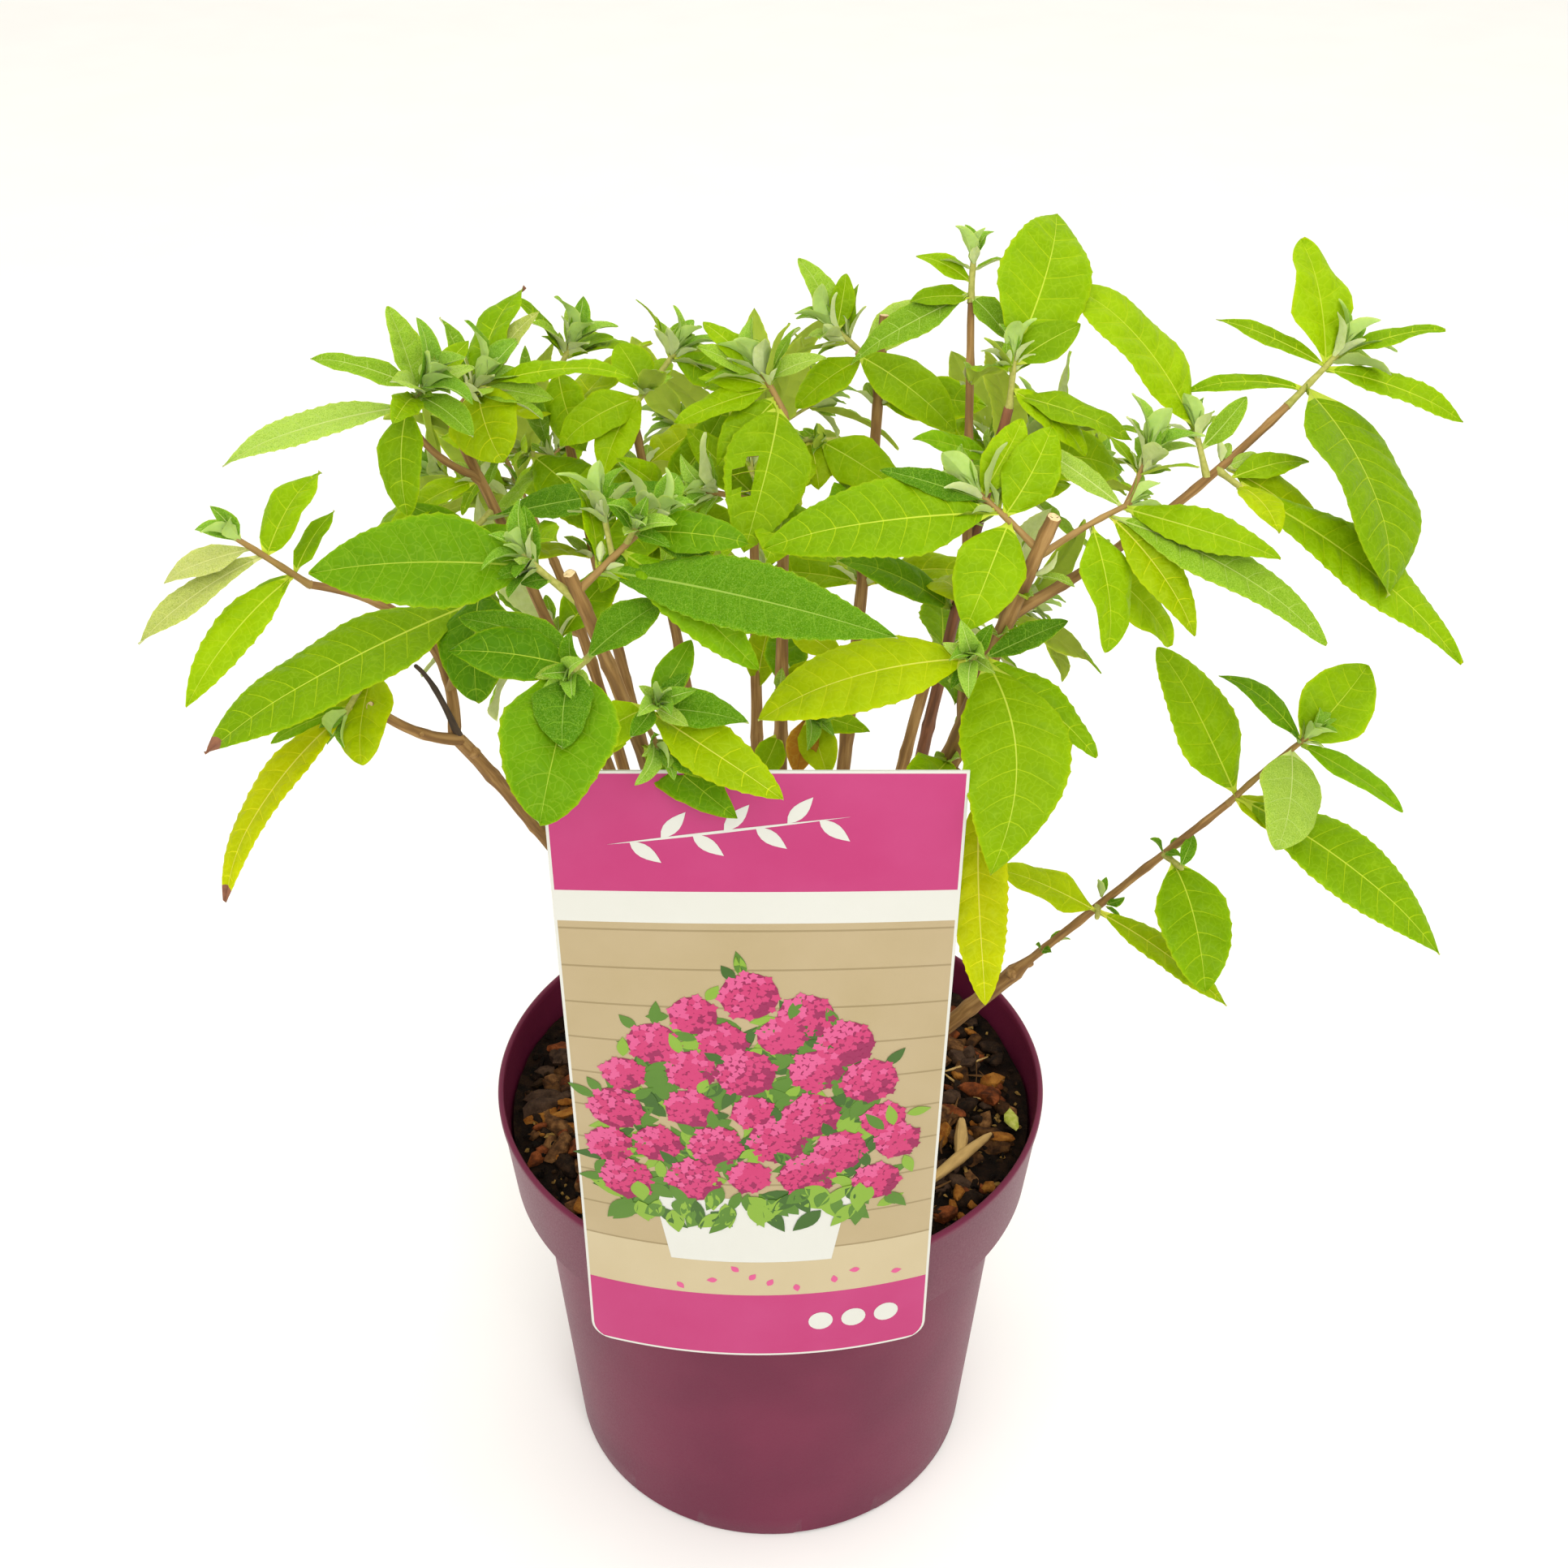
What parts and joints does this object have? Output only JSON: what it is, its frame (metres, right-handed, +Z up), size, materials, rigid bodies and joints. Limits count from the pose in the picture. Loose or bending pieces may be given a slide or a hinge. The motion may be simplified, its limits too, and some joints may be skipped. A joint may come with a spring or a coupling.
{
  "type": "butterfly bush in a nursery pot",
  "caption": "Young butterfly bush with slender arching stems and toothed lance-shaped leaves, standing in a round tapered nursery pot with a plant label hung over its rim.",
  "frame": {"origin": "centre of the pot's flat underside, on the floor", "axes": "+Z up along the pot's axis, -Y toward the front, where the label hangs, +X to the right of a viewer at the front"},
  "size_m": [0.3667, 0.3233, 0.4636],
  "materials": {
    "pot_plastic": "satin injection-moulded polypropylene",
    "compost": "damp bark and peat compost",
    "label_card": "printed and laminated card",
    "bark": "thin matt bark",
    "foliage": "soft leaves, matt to satin"
  },
  "bodies": {
    "root": {"bough_left": "bark", "bough_left_cut": "bark", "bough_left_dead": "bark", "bough_left_rear": "bark", "bough_right": "bark", "bough_tall": "bark", "label": "label_card", "leaves_back": "foliage", "leaves_back_left": "foliage", "leaves_back_low": "foliage", "leaves_back_low_left": "foliage", "leaves_back_low_right": "foliage", "leaves_back_right": "foliage", "leaves_centre": "foliage", "leaves_centre_mid": "foliage", "leaves_centre_rear_top": "foliage", "leaves_centre_top": "foliage", "leaves_far_right_inner": "foliage", "leaves_far_right_top": "foliage", "leaves_far_right_under": "foliage", "leaves_front_left": "foliage", "leaves_front_low": "foliage", "leaves_front_lowest": "foliage", "leaves_front_right": "foliage", "leaves_left_big": "foliage", "leaves_left_inner": "foliage", "leaves_left_low": "foliage", "leaves_left_outer": "foliage", "leaves_left_top": "foliage", "leaves_left_upper": "foliage", "leaves_low_right_low": "foliage", "leaves_low_right_mid": "foliage", "leaves_low_right_tip": "foliage", "leaves_mid_low": "foliage", "leaves_rear_left_mid": "foliage", "leaves_rear_left_top": "foliage", "leaves_rear_mid_low": "foliage", "leaves_rear_mid_top": "foliage", "leaves_right_inner": "foliage", "leaves_right_low": "foliage", "leaves_right_outer": "foliage", "leaves_right_top": "foliage", "leaves_right_under": "foliage", "leaves_tall_top": "foliage", "pot": "pot_plastic", "soil": "compost", "stem_back": "bark", "stem_back_left": "bark", "stem_back_right": "bark", "stem_centre": "bark", "stem_centre_rear": "bark", "stem_front": "bark", "stem_left": "bark", "stem_left_rear": "bark", "stem_low_right": "bark", "stem_rear_left": "bark", "stem_rear_mid": "bark", "stem_red": "bark", "stem_trunk": "bark"}
  },
  "joints": []
}
